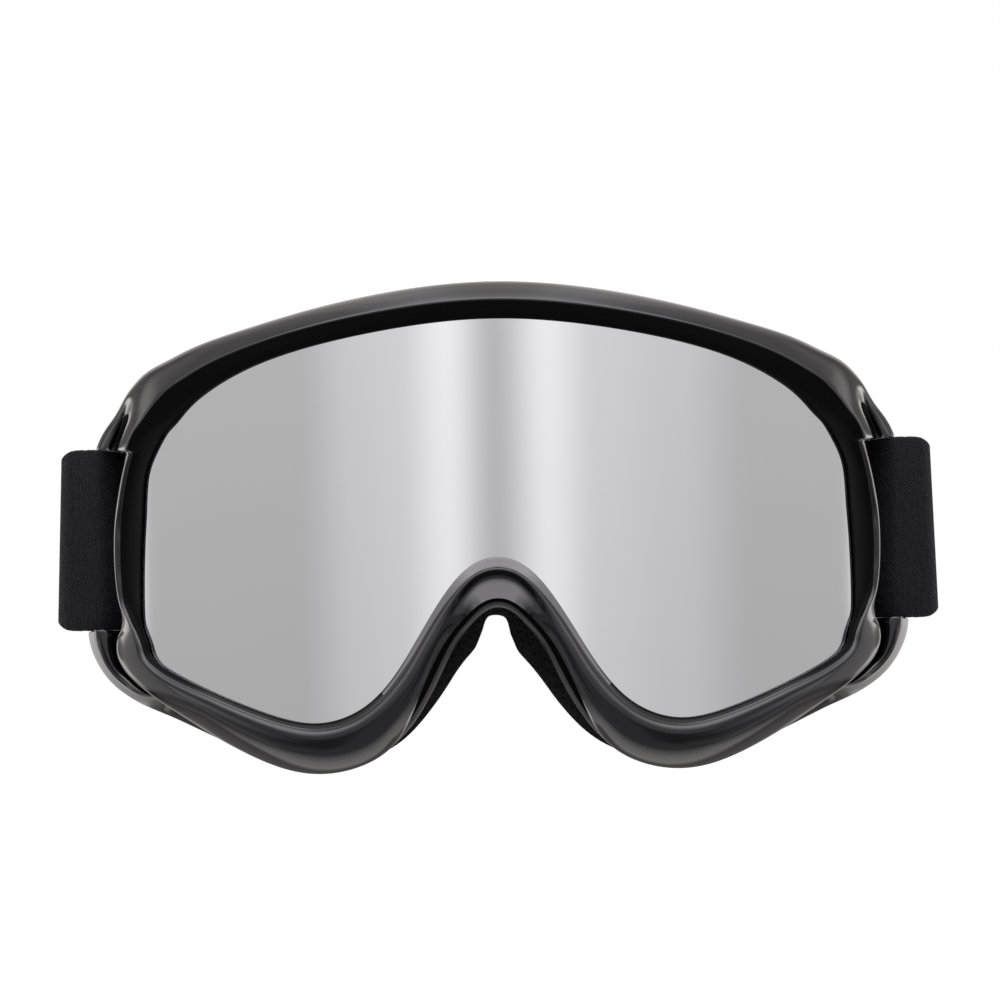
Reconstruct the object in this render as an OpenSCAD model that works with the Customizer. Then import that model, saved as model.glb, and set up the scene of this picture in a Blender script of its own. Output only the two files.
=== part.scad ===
// Motorcycle goggles: a moulded frame around a curved mirror lens, face foam,
// vent foam and an elastic strap with two sliders.
// Millimetres. X is across the face, +Y points at the wearer, +Z is up.
// The origin is the middle of the face opening, at the back of the foam.

/* [Lens] */
// Radius of the lens curve, about an upright axis
lens_r = 110; // [100:1:130]
// Half width of the visible lens
lens_half_w = 76; // [72:0.5:80]
// Height of the visible lens above the strap line, at the middle
lens_top = 45.8; // [43:0.1:49]
// Depth of the visible lens below the strap line, at the cheeks
lens_drop = 39.3; // [37:0.1:42]
// Depth of the nose arch below the strap line
nose_drop = 4.2; // [3:0.1:8]
// Half width of the nose arch, where its flanks meet the cheeks
nose_half_w = 28.5; // [26:0.5:31]
// Thickness of the lens
lens_t = 1.6; // [1.2:0.1:2]
// How far the lens runs into its groove
groove_in = 2.6; // [2:0.1:3]
// Clearance around the lens in its groove
lens_gap = 0.2; // [0.15:0.05:0.3]

/* [Frame] */
// Rim width over the brow
rim_brow = 8; // [7:0.1:9]
// Rim width at the upper corner
rim_corner = 11.2; // [10:0.1:12]
// Rim width at the temple
rim_temple = 6.8; // [6:0.1:8]
// Rim width under the cheek
rim_cheek = 11.5; // [10:0.1:13]
// Rim width beside the nose
rim_flank = 6; // [5.5:0.1:7]
// Rim width over the nose
rim_bridge = 8.8; // [8:0.1:10]
// How far the rear flange stands out past the rim at the jaw
flange_jaw = 7.2; // [4:0.1:8]
// How far the rear flange stands out past the rim at the nose
flange_nose = 1.6; // [1:0.1:2.5]
// How far the rim stands in front of the lens
bead_h = 3.6; // [3:0.1:5]
// Lens face to the back of the flange
frame_depth = 24; // [22:0.5:28]
// Thickness of the flange
flange_t = 4.4; // [4:0.1:5.5]
// Wall of the frame
wall = 2.2; // [1.8:0.1:2.8]
// How far the waist is drawn in behind the rim
waist_in = 1.8; // [1:0.1:2.4]

/* [Foam] */
// Thickness of the base foam
foam_t = 9; // [7:0.5:11]
// Thickness of the soft lining
lining_t = 4.5; // [3:0.5:6]
// How far the foam stays inside the edge of the rim
foam_in = 1.5; // [1:0.1:2.5]
// How far the foam stays inside the edge of the rim beside the strap
foam_ear = 4.2; // [3.6:0.1:5]
// How far the foam stands out past the rim beside the nose
foam_nose = 4.8; // [3:0.1:6]
// Thickness of the vent foam
vent_foam_t = 2.4; // [1.6:0.1:2.6]
// Glue line between foam and frame
glue_gap = 0.1; // [0.05:0.05:0.2]

/* [Strap] */
// Width of the webbing
strap_w = 40; // [36:1:42]
// Thickness of the webbing
strap_t = 1.5; // [1.2:0.1:1.8]
// Radius of the strap bars
bar_r = 2.1; // [1.8:0.1:2.4]
// Strap bar outside the edge of the visible lens
bar_out = 9.9; // [9.5:0.1:13]
// Play of the strap loop on its bar
loop_gap = 0.5; // [0.3:0.1:0.7]
// Reach of the strap's outward bulge past its bar
bulge_out = 10.5; // [9:0.1:12]
// Length of each strap leg, from its bar to the rear corner
leg_len = 100; // [96:1:120]
// Depth of the rear band behind the rear corners
rear_depth = 72; // [50:1:100]
// Length of the sewn end in front of the slider
sewn_len = 24; // [20:1:28]
// Length of the bulge behind its bend
bulge_len = 12; // [8:1:16]
// Length over which the inner run drifts out to the slider's line
lead_len = 30; // [24:1:32]
// Strap bar to slider, at rest
slider_at = 60; // [58:1:66]

/* [Slider] */
// Length of the slider along the strap
slider_len = 22; // [20:1:26]
// Radius of the slider's middle bar
slider_bar_r = 1.6; // [1.4:0.1:2]
// Thickness of the slider's end bars and rails
slider_t = 2.6; // [2.2:0.1:3]
// Running clearance of the slider on the strap
slide_gap = 0.3; // [0.2:0.05:0.5]

/* [Hidden] */
$fn = 64;

black_gloss = "#17171a";
black_foam = "#1d1d1f";
black_web = "#22222b";
silver = "#b9b9bd";

// Steps of the outline between two of its points
steps = 3;
// Half height of the strap slot: the webbing and its play
slot_half = strap_w / 2 + 0.9;
// Beyond this distance from the middle the frame runs straight out sideways
side_x = lens_half_w + 6;
// Strap bars and the strap's bulge, from the middle plane
bar_x = lens_half_w + bar_out;
bulge_x = bar_x + bulge_out;
// Lens face at the middle plane, and the back of the foam on it at zero
lens_y = -(frame_depth + foam_t + lining_t + 2 * glue_gap);

// Backward sweep of the lens curve at a distance x from the middle
function curve_y(x) = lens_r - sqrt(lens_r * lens_r - pow(min(abs(x), side_x), 2));

// Outline rows, from the brow's middle round the right eye to the nose.
// Each row: lens edge x, lens edge z, direction of the section in degrees,
// rim width, flange reach past the rim, foam reach past the rim.
function low(share) = -nose_drop - share * (lens_drop - nose_drop);
ear_reach = bar_x + bar_r + 0.7;
half_rows = [
    [0, lens_top, 90, rim_brow, 0, -foam_in],
    [0.37 * lens_half_w, 0.931 * lens_top, 82, rim_brow, 0, -foam_in],
    [0.66 * lens_half_w, 0.814 * lens_top, 67, rim_brow, 0.2, -foam_in],
    [0.836 * lens_half_w, 0.655 * lens_top, 48, rim_corner, 0.2, -foam_in],
    [0.908 * lens_half_w, slot_half + 3.7, 15, rim_corner, 1.6, -foam_ear],
    ear_row(0.955 * lens_half_w, slot_half, rim_temple + 2.2, -1.2),
    ear_row(0.992 * lens_half_w, 0.28 * slot_half, rim_temple, 0),
    ear_row(lens_half_w, -0.46 * slot_half, rim_temple - 0.6, 0),
    ear_row(0.997 * lens_half_w, -slot_half, rim_temple - 1.1, 1),
    [0.966 * lens_half_w, -slot_half - 3.9, -32, rim_temple, flange_jaw, -foam_in],
    [0.868 * lens_half_w, low(0.728), -62, rim_temple + 0.7, 2.6, -foam_in],
    [0.697 * lens_half_w, low(0.894), -66, rim_cheek - 1.8, 0.6, -foam_in],
    [0.517 * lens_half_w, low(1), -88, rim_cheek, 0, -foam_in],
    [nose_half_w, low(0.902), -122, rim_cheek - 0.2, 0, 0.5],
    [0.754 * nose_half_w, low(0.688), -148, rim_flank + 0.5, flange_nose, foam_nose],
    [0.568 * nose_half_w, low(0.441), -148, rim_flank - 0.5, flange_nose, foam_nose + 1],
    [0.361 * nose_half_w, low(0.178), -119, rim_bridge - 1.4, flange_nose, foam_nose],
    [0.175 * nose_half_w, low(0.037), -101, rim_bridge - 0.2, flange_nose, foam_nose - 0.8],
    [0, -nose_drop, -90, rim_bridge, flange_nose, foam_nose - 0.7]
];
function ear_row(x, z, rim, more) = [x, z, 0, rim, ear_reach + more - x - rim, -foam_ear];

// A row as four points: lens edge, rim edge, flange edge and foam edge
function along(row, reach) = [row[0] + reach * cos(row[2]), row[1] + reach * sin(row[2])];
function row_points(row) = [
    along(row, 0), along(row, row[3]),
    along(row, row[3] + row[4]), along(row, row[3] + row[5])
];
function mirrored(points) = [for (p = points) [-p[0], p[1]]];
half_points = [for (row = half_rows) row_points(row)];
last = len(half_points) - 1;
loop_points = concat(
    half_points,
    [for (i = [last - 1:-1:1]) mirrored(half_points[i])]
);

// Closed Catmull-Rom curve through the rows, then evened out twice
function at(list, i) = list[(i + len(list)) % len(list)];
function spline(a, b, c, d, t) =
    b + t / 2 * (c - a + t * (2 * a - 5 * b + 4 * c - d + t * (3 * (b - c) + d - a)));
rough = [
    for (i = [0:len(loop_points) - 1], k = [0:steps - 1])
        spline(at(loop_points, i - 1), at(loop_points, i),
            at(loop_points, i + 1), at(loop_points, i + 2), k / steps)
];
function evened(list, passes) = passes == 0 ? list : evened(
    [for (i = [0:len(list) - 1]) (at(list, i - 1) + 2 * list[i] + at(list, i + 1)) / 4],
    passes - 1);
even = evened(rough, 2);

// A station: lens edge, section direction, rim width, flange reach, foam reach
function station(s) = let (d = s[1] - s[0], w = norm(d))
    [s[0], d / w, w, (s[2] - s[1]) * d / w, (s[3] - s[1]) * d / w];
stations = [for (s = even) station(s)];
count = len(stations);

// A section point: u out from the lens edge, v back from the lens face
function placed(s, uv) = let (p = s[0] + s[1] * uv[0])
    [p[0], lens_y + curve_y(p[0]) + uv[1], p[1]];

// Section of the frame, from the lens lip over the bead and waist to the
// flange, and back inside to the lens groove
bead_top = -bead_h;
flange_front = frame_depth - flange_t;
waist_front = 8;
waist_back = 15;
flange_in = -1;
function frame_section(w, e) = let (
    root = w - waist_in,
    inner = root - wall,
    groove = groove_in + lens_gap,
    lens_back = lens_t + lens_gap
) [
    [0.15, -lens_gap], [0, -0.9], [1.3, -2.4],
    [0.42 * w, bead_top], [0.74 * w, bead_top + 0.6], [0.93 * w, bead_top + 2.3],
    [w, 1.2], [w - 0.5, 4.5],
    [root, waist_front], [root, waist_back],
    [root + 0.2, flange_front - 0.8], [w + e - 0.9, flange_front],
    [w + e, flange_front + 1], [w + e, frame_depth - 1], [w + e - 0.9, frame_depth],
    [root + 0.2, frame_depth],
    [flange_in, frame_depth], [flange_in - 0.4, frame_depth - 1], [flange_in, frame_depth - 2],
    [inner, waist_back + 3], [inner, waist_back], [inner, waist_front], [inner, 4.6],
    [0.7, 3.4], [0.5, lens_back], [groove, lens_back], [groove, -lens_gap]
];
// Vents and strap slots, as ranges of stations
third = steps / 3;
half_vents = third * [[2, 4], [5, 7], [30, 32], [33, 35]];
vents = concat([third * [-1, 1]], half_vents, [for (v = half_vents) [-v[1], -v[0]]]);
half_slot = third * [15, 24];
slots = [half_slot, [-half_slot[1], -half_slot[0]]];
function within(i, ranges) = len([
    for (r = ranges) if ((i - r[0] + 2 * count) % count < r[1] - r[0]) 1
]) > 0;

// A tube of sections round the stations, closed on itself
function index(i, j, size) = ((i + count) % count) * size + (j + size) % size;
function patch(i, j, k, size) =
    [index(i, j, size), index(i, k, size), index(i + 1, k, size), index(i + 1, j, size)];
function reversed(list) = [for (i = [len(list) - 1:-1:0]) list[i]];
function ring_faces(size) = [
    for (i = [0:count - 1], j = [0:size - 1]) patch(i, j, j + 1, size)
];

module frame() {
    // Section points that bound the vents and the strap slots
    waist_out = [8, 9];
    waist_inner = [20, 21];
    ear = [10, 15];
    size = len(frame_section(1, 0));
    points = [for (s = stations, uv = frame_section(s[2], s[3])) placed(s, uv)];
    skin = [
        for (i = [0:count - 1], j = [0:size - 1])
            if (!(within(i, vents) && (j == waist_out[0] || j == waist_inner[0]))
                && !(within(i, slots) && j >= ear[0] && j < ear[1]))
                patch(i, j, j + 1, size)
    ];
    vent_walls = [
        for (i = [0:count - 1]) if (within(i, vents))
            each [patch(i, waist_out[0], waist_inner[1], size),
                patch(i, waist_inner[0], waist_out[1], size)]
    ];
    vent_ring = concat(waist_out, waist_inner);
    vent_ends = [
        for (v = vents) each [
            [for (j = vent_ring) index(v[0], j, size)],
            reversed([for (j = vent_ring) index(v[1], j, size)])
        ]
    ];
    slot_walls = [
        for (i = [0:count - 1]) if (within(i, slots)) patch(i, ear[0], ear[1], size)
    ];
    slot_ends = [
        for (s = slots) each [
            [for (j = [ear[0]:ear[1]]) index(s[0], j, size)],
            reversed([for (j = [ear[0]:ear[1]]) index(s[1], j, size)])
        ]
    ];
    color(black_gloss) union() {
        polyhedron(points, concat(skin, vent_walls, vent_ends, slot_walls, slot_ends));
        for (side = [-1, 1]) strap_bar(side);
    }
}

// Upright bar that the strap loops round, let into the lugs at both ends
bar_y = lens_y + curve_y(side_x) + frame_depth - flange_t / 2;
bar_in = 1.6;
module strap_bar(side) {
    translate([side * bar_x, bar_y, -slot_half - bar_in])
        cylinder(r = bar_r, h = 2 * (slot_half + bar_in));
}

// Curved lens: one thickness of the lens curve, cut to the groove's outline
module lens() {
    edge = [for (s = stations) s[0] + s[1] * (groove_in - lens_gap)];
    tall = 2 * (lens_top + lens_drop);
    color(silver) intersection() {
        rotate([90, 0, 0]) translate([0, 0, -lens_r]) linear_extrude(2 * lens_r) polygon(edge);
        translate([0, lens_y + lens_r, -tall / 2]) difference() {
            cylinder(r = lens_r, h = tall, $fn = 128);
            translate([0, lens_t, -1]) cylinder(r = lens_r, h = tall + 2, $fn = 128);
        }
    }
}

// Ring of foam behind the flange, between two depths
module foam_ring(front, back, inset) {
    edge_round = 1.2;
    function foam_section(w, reach) = let (a = flange_in - 0.5 + inset, b = w + reach - inset) [
        [a, front], [a, back - edge_round], [a + edge_round, back],
        [b - edge_round, back], [b, back - edge_round], [b, front]
    ];
    size = len(foam_section(1, 0));
    points = [for (s = stations, uv = reversed(foam_section(s[2], s[4]))) placed(s, uv)];
    color(black_foam) polyhedron(points, ring_faces(size));
}
foam_front = frame_depth + glue_gap;
lining_front = foam_front + foam_t + glue_gap;
module face_foam() foam_ring(foam_front, foam_front + foam_t, 0);
module face_lining() foam_ring(lining_front, lining_front + lining_t, 0.4);

// Strip of open foam glued inside the waist, behind a row of vents
module vent_strip(first, final) {
    front = waist_front - 2;
    back = waist_back + 2;
    points = [
        for (i = [first:final]) let (s = at(stations, i), out = s[2] - waist_in - wall - glue_gap)
            each [
                placed(s, [out, front]), placed(s, [out, back]),
                placed(s, [out - vent_foam_t, back]), placed(s, [out - vent_foam_t, front])
            ]
    ];
    rings = final - first;
    sides = [
        for (i = [0:rings - 1], j = [0:3])
            [4 * i + j, 4 * i + (j + 1) % 4, 4 * i + 4 + (j + 1) % 4, 4 * i + 4 + j]
    ];
    ends = [[3, 2, 1, 0], [for (j = [0:3]) 4 * rings + j]];
    color(black_foam) polyhedron(points, concat(sides, ends));
}
module vent_foam_top() vent_strip(-8 * third, 8 * third);
module vent_foam_right() vent_strip(29 * third, 36 * third);
module vent_foam_left() vent_strip(-36 * third, -29 * third);

// Strap paths are drawn in plan, on the right, and stood up to the strap's width
function arc(centre, r, from, to, pieces) = [
    for (k = [0:pieces]) let (a = from + (to - from) * k / pieces)
        centre + r * [cos(a), sin(a)]
];
function unit(v) = v / norm(v);
function turned(v) = [-v[1], v[0]];
function side_normal(path, i) = let (
    before = unit(path[i] - path[max(i - 1, 0)] + 1e-9 * [1, 1]),
    after = unit(path[min(i + 1, len(path) - 1)] - path[i] + 1e-9 * [1, 1]),
    a = i == 0 ? after : before,
    b = i == len(path) - 1 ? before : after,
    n = unit(turned(a) + turned(b))
) n / (n * turned(a));
module ribbon(path, t, tall) {
    out = [for (i = [0:len(path) - 1]) path[i] + side_normal(path, i) * t / 2];
    in = [for (i = [0:len(path) - 1]) path[i] - side_normal(path, i) * t / 2];
    translate([0, 0, -tall / 2]) linear_extrude(tall) polygon(concat(out, reversed(in)));
}
module on_side(side) mirror([side < 0 ? 1 : 0, 0, 0]) children();

bar_at = [bar_x, bar_y];
loop_r = bar_r + loop_gap + strap_t / 2;
hinge_gap = 0.4;
rear_y = bar_y + leg_len;
slider_y = bar_y + slider_at;
// Play of the sewn end on the slider's middle bar, and of the strap's edges in the slider
end_gap = 0.2;
edge_gap = 0.8;
end_r = slider_bar_r + end_gap + strap_t / 2;
slider_bar_x = bar_x + strap_t / 2 + slide_gap + strap_t + end_gap + slider_bar_r;
outer_x = slider_bar_x + end_r;

// Outward bulge: off the bar at an angle, then round a soft bend to the slider
flare = 30;
bend_r = 4;
bulge_line = bulge_x - strap_t / 2;
flare_start = bar_at + loop_r * [sin(flare), -cos(flare)];
flare_len = (bulge_line - bend_r * (1 - sin(flare)) - flare_start[0]) / cos(flare);
flare_end = flare_start + flare_len * [cos(flare), sin(flare)];
bend_at = flare_end + bend_r * [-sin(flare), cos(flare)];
end_front = slider_y - sewn_len;
run_front = bend_at[1] + bulge_len;
run_turn = atan2(bulge_line - outer_x, end_front - bend_at[1]);
function run_x(y) = outer_x + (end_front - y) * tan(run_turn);

// Smooth step from 0 to 1
function eased(t) = (1 - cos(180 * t)) / 2;

// Leg: from the rear corner forward through the slider, round the bar and out
module strap_leg(side) {
    path = concat(
        [[bar_x, rear_y - hinge_gap], [bar_x, bar_y + 2 * bend_r + lead_len]],
        [for (k = [1:7]) [
            bar_x - loop_r * eased(k / 8),
            bar_y + 2 * bend_r + lead_len * (1 - k / 8)]],
        arc(bar_at, loop_r, 180, 270 + flare, 12),
        arc(bend_at, bend_r, flare - 90, run_turn, 6),
        [[run_x(run_front), run_front]]
    );
    color(black_web) on_side(side) ribbon(path, strap_t, strap_w);
}

// Outer run between the bulge and the sewn end: it stretches as the slider moves
module strap_run(side) {
    path = [[run_x(run_front + hinge_gap), run_front + hinge_gap],
        [run_x(end_front - hinge_gap), end_front - hinge_gap]];
    color(black_web) on_side(side) ribbon(path, strap_t, strap_w);
}

// Sewn end: round the slider's middle bar and back on itself
module strap_end(side) {
    back_x = outer_x - strap_t - glue_gap;
    fold_len = 0.4 * sewn_len;
    path = concat(
        [[outer_x, end_front]],
        arc([slider_bar_x, slider_y], end_r, 0, 180, 12),
        [for (k = [1:5]) [
            slider_bar_x - end_r + (back_x - slider_bar_x + end_r) * eased(k / 5),
            slider_y - fold_len * k / 5]],
        [[back_x, end_front + 2 * strap_t]]
    );
    color(black_web) on_side(side) ribbon(path, strap_t, strap_w);
}

// Two bars of thread through the sewn end, seen on its outer face
module bar_tack(side) {
    thread = strap_t / 4;
    color(black_web) on_side(side)
        for (share = [0.1, 0.35])
            translate([outer_x + strap_t / 2, end_front + share * sewn_len, -0.4 * strap_w])
                cube([thread, strap_t, 0.8 * strap_w]);
}

// Slider: two rails, two end bars inside the strap and a middle bar outside it
module slider(side) {
    half = slider_len / 2;
    rail_in = strap_w / 2 + edge_gap;
    bar_face = bar_x - strap_t / 2 - slide_gap;
    bar_in_x = bar_face - slider_t;
    far = slider_bar_x + slider_bar_r;
    rail = [
        [bar_in_x, -half], [bar_face, -half], [far, -half / 3], [far, half / 3],
        [bar_face, half], [bar_in_x, half]
    ];
    color(black_gloss) on_side(side) translate([0, slider_y, 0]) union() {
        for (z = [-rail_in - slider_t, rail_in])
            translate([0, 0, z]) linear_extrude(slider_t) polygon(rail);
        for (y = [-half, half - slider_t])
            translate([bar_in_x, y, -rail_in - slider_t / 2])
                cube([slider_t, slider_t, 2 * rail_in + slider_t]);
        translate([slider_bar_x, 0, -rail_in - slider_t / 2])
            cylinder(r = slider_bar_r, h = 2 * rail_in + slider_t);
    }
}

// Rear band, half an ellipse in plan
rear_steps = 48;
function rear_point(k, inset) = let (a = 180 * k / rear_steps) [
    (bar_x - inset) * cos(a), rear_y + (rear_depth - inset) * sin(a)
];
module strap_rear() {
    path = concat(
        [[bar_x, rear_y + hinge_gap]],
        [for (k = [1:rear_steps - 1]) rear_point(k, 0)],
        [[-bar_x, rear_y + hinge_gap]]
    );
    color(black_web) ribbon(path, strap_t, strap_w);
}

// Two lines of soft grip on the inside of the rear band
module strap_grip() {
    grip_t = 0.5;
    path = [for (k = [5:rear_steps - 5]) rear_point(k, strap_t / 2 + grip_t / 2 + 0.03)];
    color(black_gloss)
        for (side = [-1, 1])
            translate([0, 0, side * strap_w / 5]) ribbon(path, grip_t, strap_w / 12);
}

frame();
lens();
face_foam();
face_lining();
vent_foam_top();
vent_foam_left();
vent_foam_right();
strap_leg(-1);  // strap_leg_left
strap_leg(1);  // strap_leg_right
strap_run(-1);  // strap_run_left
strap_run(1);  // strap_run_right
strap_end(-1);  // strap_end_left
strap_end(1);  // strap_end_right
bar_tack(-1);  // bar_tack_left
bar_tack(1);  // bar_tack_right
slider(-1);  // slider_left
slider(1);  // slider_right
strap_rear();
strap_grip();
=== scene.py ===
# Motorcycle goggles: gloss black frame, silver mirror lens, face foam and elastic strap.
# Shapes are worked out in millimetres, in the part's own frame, and stored in metres.
import math

import bmesh
import bpy
import numpy as np
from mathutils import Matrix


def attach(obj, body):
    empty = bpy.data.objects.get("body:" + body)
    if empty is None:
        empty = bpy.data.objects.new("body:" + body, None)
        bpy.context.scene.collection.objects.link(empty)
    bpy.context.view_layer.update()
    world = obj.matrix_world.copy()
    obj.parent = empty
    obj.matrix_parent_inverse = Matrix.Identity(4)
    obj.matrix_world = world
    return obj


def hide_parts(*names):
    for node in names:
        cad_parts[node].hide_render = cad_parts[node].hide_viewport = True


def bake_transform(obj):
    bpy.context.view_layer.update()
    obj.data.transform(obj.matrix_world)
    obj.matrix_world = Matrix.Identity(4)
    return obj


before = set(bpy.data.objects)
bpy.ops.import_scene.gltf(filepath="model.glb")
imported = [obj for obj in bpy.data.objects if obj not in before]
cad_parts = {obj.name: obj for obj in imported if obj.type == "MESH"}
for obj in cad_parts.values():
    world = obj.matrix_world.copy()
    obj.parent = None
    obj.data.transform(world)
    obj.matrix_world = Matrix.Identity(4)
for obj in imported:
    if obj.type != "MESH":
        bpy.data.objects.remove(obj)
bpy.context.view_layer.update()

MM = 0.001
SIDES = ((-1, "left"), (1, "right"))

# Sizes of the part, in millimetres
lens_r, lens_half_w, lens_top, lens_drop = 110, 76, 45.8, 39.3
nose_drop, nose_half_w, lens_t, groove_in, lens_gap = 4.2, 28.5, 1.6, 2.6, 0.2
rim_brow, rim_corner, rim_temple = 8, 11.2, 6.8
rim_cheek, rim_flank, rim_bridge = 11.5, 6, 8.8
flange_jaw, flange_nose = 7.2, 1.6
frame_depth, flange_t, wall, waist_in = 24, 4.4, 2.2, 1.8
foam_t, lining_t, foam_in, foam_ear, foam_nose = 9, 4.5, 1.5, 4.2, 4.8
vent_foam_t, glue_gap = 2.4, 0.1
strap_w, strap_t, bar_r, bar_out, loop_gap = 40, 1.5, 2.1, 9.9, 0.5
bulge_out, leg_len, rear_depth, slider_at = 11.2, 100, 72, 60
sewn_len, bulge_len, lead_len = 24, 12, 30
slider_len, slider_bar_r, slider_t, slide_gap = 22, 1.6, 2.6, 0.3
slot_gap, side_out, ear_wrap = 0.9, 6, 0.7

slot_half = strap_w / 2 + slot_gap
side_x = lens_half_w + side_out
bar_x = lens_half_w + bar_out
lens_y = -(frame_depth + foam_t + lining_t + 2 * glue_gap)
ear_reach = bar_x + bar_r + ear_wrap


# Outline of the frame, in rows from the brow's middle round one eye to the nose.
# Each row: lens edge x and z, section direction, rim width, flange and foam reach.
def low(share):
    """A height between the arch over the nose and the lens's lowest edge."""
    return -nose_drop - share * (lens_drop - nose_drop)


def ear_row(x, z, rim, more):
    """A row beside the strap, where the flange reaches round the bar."""
    return (x, z, 0, rim, ear_reach + more - x - rim, -foam_ear)


half_rows = [
    (0, lens_top, 90, rim_brow, 0, -foam_in),
    (0.37 * lens_half_w, 0.931 * lens_top, 82, rim_brow, 0, -foam_in),
    (0.66 * lens_half_w, 0.814 * lens_top, 67, rim_brow, 0.2, -foam_in),
    (0.836 * lens_half_w, 0.655 * lens_top, 48, rim_corner, 0.2, -foam_in),
    (0.908 * lens_half_w, slot_half + 3.7, 15, rim_corner, 1.6, -foam_ear),
    ear_row(0.955 * lens_half_w, slot_half, rim_temple + 2.2, -1.2),
    ear_row(0.992 * lens_half_w, 0.28 * slot_half, rim_temple, 0),
    ear_row(lens_half_w, -0.46 * slot_half, rim_temple - 0.6, 0),
    ear_row(0.997 * lens_half_w, -slot_half, rim_temple - 1.1, 1),
    (0.982 * lens_half_w, -slot_half - 4.5, -32, rim_temple, flange_jaw - 1.3, -foam_in),
    (0.876 * lens_half_w, low(0.734), -62, rim_temple + 0.7, 2.6, -foam_in),
    (0.697 * lens_half_w, low(0.894), -66, rim_cheek - 1.8, 0.6, -foam_in),
    (0.517 * lens_half_w, low(1), -88, rim_cheek, 0, -foam_in),
    (nose_half_w, low(0.902), -122, rim_cheek - 0.2, 0, 0.5),
    (0.754 * nose_half_w, low(0.688), -148, rim_flank + 0.5, flange_nose, foam_nose),
    (0.568 * nose_half_w, low(0.441), -148, rim_flank - 0.5, flange_nose, foam_nose + 1),
    (0.361 * nose_half_w, low(0.178), -119, rim_bridge - 1.4, flange_nose, foam_nose),
    (0.175 * nose_half_w, low(0.037), -101, rim_bridge - 0.2, flange_nose, foam_nose - 0.8),
    (0, -nose_drop, -90, rim_bridge, flange_nose, foam_nose - 0.7),
]


def row_points(row):
    x, z, degrees, rim, flange, foam = row
    edge = np.array([x, z])
    way = np.array([math.cos(math.radians(degrees)), math.sin(math.radians(degrees))])
    return [edge + reach * way for reach in (0, rim, rim + flange, rim + foam)]


def outline_stations(steps):
    """Lens edge, section direction, rim width, flange and foam reach round the loop."""
    half = np.array([row_points(row) for row in half_rows])
    rows = np.concatenate([half, half[-2:0:-1] * [-1, 1]])
    a, b, c, d = (np.roll(rows, shift, axis=0) for shift in (1, 0, -1, -2))
    pieces = []
    for t in np.arange(steps) / steps:
        cubic = 2 * a - 5 * b + 4 * c - d + t * (3 * (b - c) + d - a)
        pieces.append(b + t / 2 * (c - a + t * cubic))
    even = np.stack(pieces, axis=1).reshape(-1, 4, 2)
    for _ in range(round(2 * (steps / 3) ** 2)):
        even = (np.roll(even, 1, axis=0) + 2 * even + np.roll(even, -1, axis=0)) / 4
    edge = even[:, 0]
    across = even[:, 1] - edge
    width = np.linalg.norm(across, axis=1)
    way = across / width[:, None]
    flange = ((even[:, 2] - even[:, 1]) * way).sum(axis=1)
    foam = ((even[:, 3] - even[:, 1]) * way).sum(axis=1)
    return edge, way, width, flange, foam


def curve_y(x):
    """Backward sweep of the lens curve at a distance x from the middle."""
    return lens_r - np.sqrt(lens_r ** 2 - np.minimum(np.abs(x), side_x) ** 2)


def placed(edge, way, u, v):
    """Points u outward from the lens edge and v back from the lens face."""
    flat = edge + way * np.asarray(u)[..., None]
    depth = lens_y + curve_y(flat[..., 0]) + v
    return np.stack([flat[..., 0], depth, flat[..., 1]], axis=-1)


def section_points(edge, way, section):
    """A section's points at every station."""
    return np.stack([placed(edge, way, u, v) for u, v in section], axis=1)


# Mesh helpers
SMOOTH_ANGLE = 40


def new_object(name, data):
    made = bpy.data.objects.new(name, data)
    bpy.context.scene.collection.objects.link(made)
    return made


def mesh_object(name, points, faces, smooth_angle=SMOOTH_ANGLE):
    """A smooth-shaded mesh from points in millimetres."""
    mesh = bpy.data.meshes.new(name)
    mesh.from_pydata([tuple(p) for p in np.asarray(points) * MM], [], faces)
    mesh.validate()
    mesh.shade_smooth()
    if smooth_angle:
        mesh.set_sharp_from_angle(angle=math.radians(smooth_angle))
    return new_object(name, mesh)


def ring_faces(rings, around, closed=False):
    """Quads between rings of points that are stored one after another."""
    faces = []
    for i in range(rings if closed else rings - 1):
        for j in range(around):
            after, below = (j + 1) % around, (i + 1) % rings
            faces.append((i * around + j, i * around + after,
                          below * around + after, below * around + j))
    return faces


def capped_faces(rings, around):
    """Faces between rings of points, with one more over each end."""
    ends = [tuple(range(around)), tuple(range((rings - 1) * around, rings * around))]
    return ring_faces(rings, around) + ends


def outward(made):
    """Turns the faces of a closed mesh outward."""
    work = bmesh.new()
    work.from_mesh(made.data)
    bmesh.ops.recalc_face_normals(work, faces=work.faces)
    work.to_mesh(made.data)
    work.free()
    return made


def add_subdivision(made, levels):
    rounding = made.modifiers.new("rounding", "SUBSURF")
    rounding.levels = rounding.render_levels = levels
    return made


def baked(made):
    """Applies the modifiers."""
    graph = bpy.context.evaluated_depsgraph_get()
    mesh = bpy.data.meshes.new_from_object(made.evaluated_get(graph))
    made.modifiers.clear()
    made.data = mesh
    return made


# Materials
def new_material(name, colour, roughness, **sockets):
    material = bpy.data.materials.new(name)
    material.use_nodes = True
    shader = material.node_tree.nodes["Principled BSDF"]
    shader.inputs["Base Color"].default_value = (*colour, 1)
    shader.inputs["Roughness"].default_value = roughness
    for socket, value in sockets.items():
        shader.inputs[socket.replace("_", " ")].default_value = value
    return material, material.node_tree, shader


def add_node(tree, kind, inputs=None, **settings):
    made = tree.nodes.new("ShaderNode" + kind)
    for setting, value in settings.items():
        setattr(made, setting, value)
    for socket, value in (inputs or {}).items():
        if isinstance(value, bpy.types.NodeSocket):
            tree.links.new(value, made.inputs[socket])
        else:
            made.inputs[socket].default_value = value
    return made


def noise(tree, place, scale, detail=2.0):
    """Noise at a place, by a scale in cycles per unit of length."""
    made = add_node(tree, "TexNoise", {"Vector": place, "Scale": scale, "Detail": detail})
    return made.outputs["Fac"]


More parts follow.
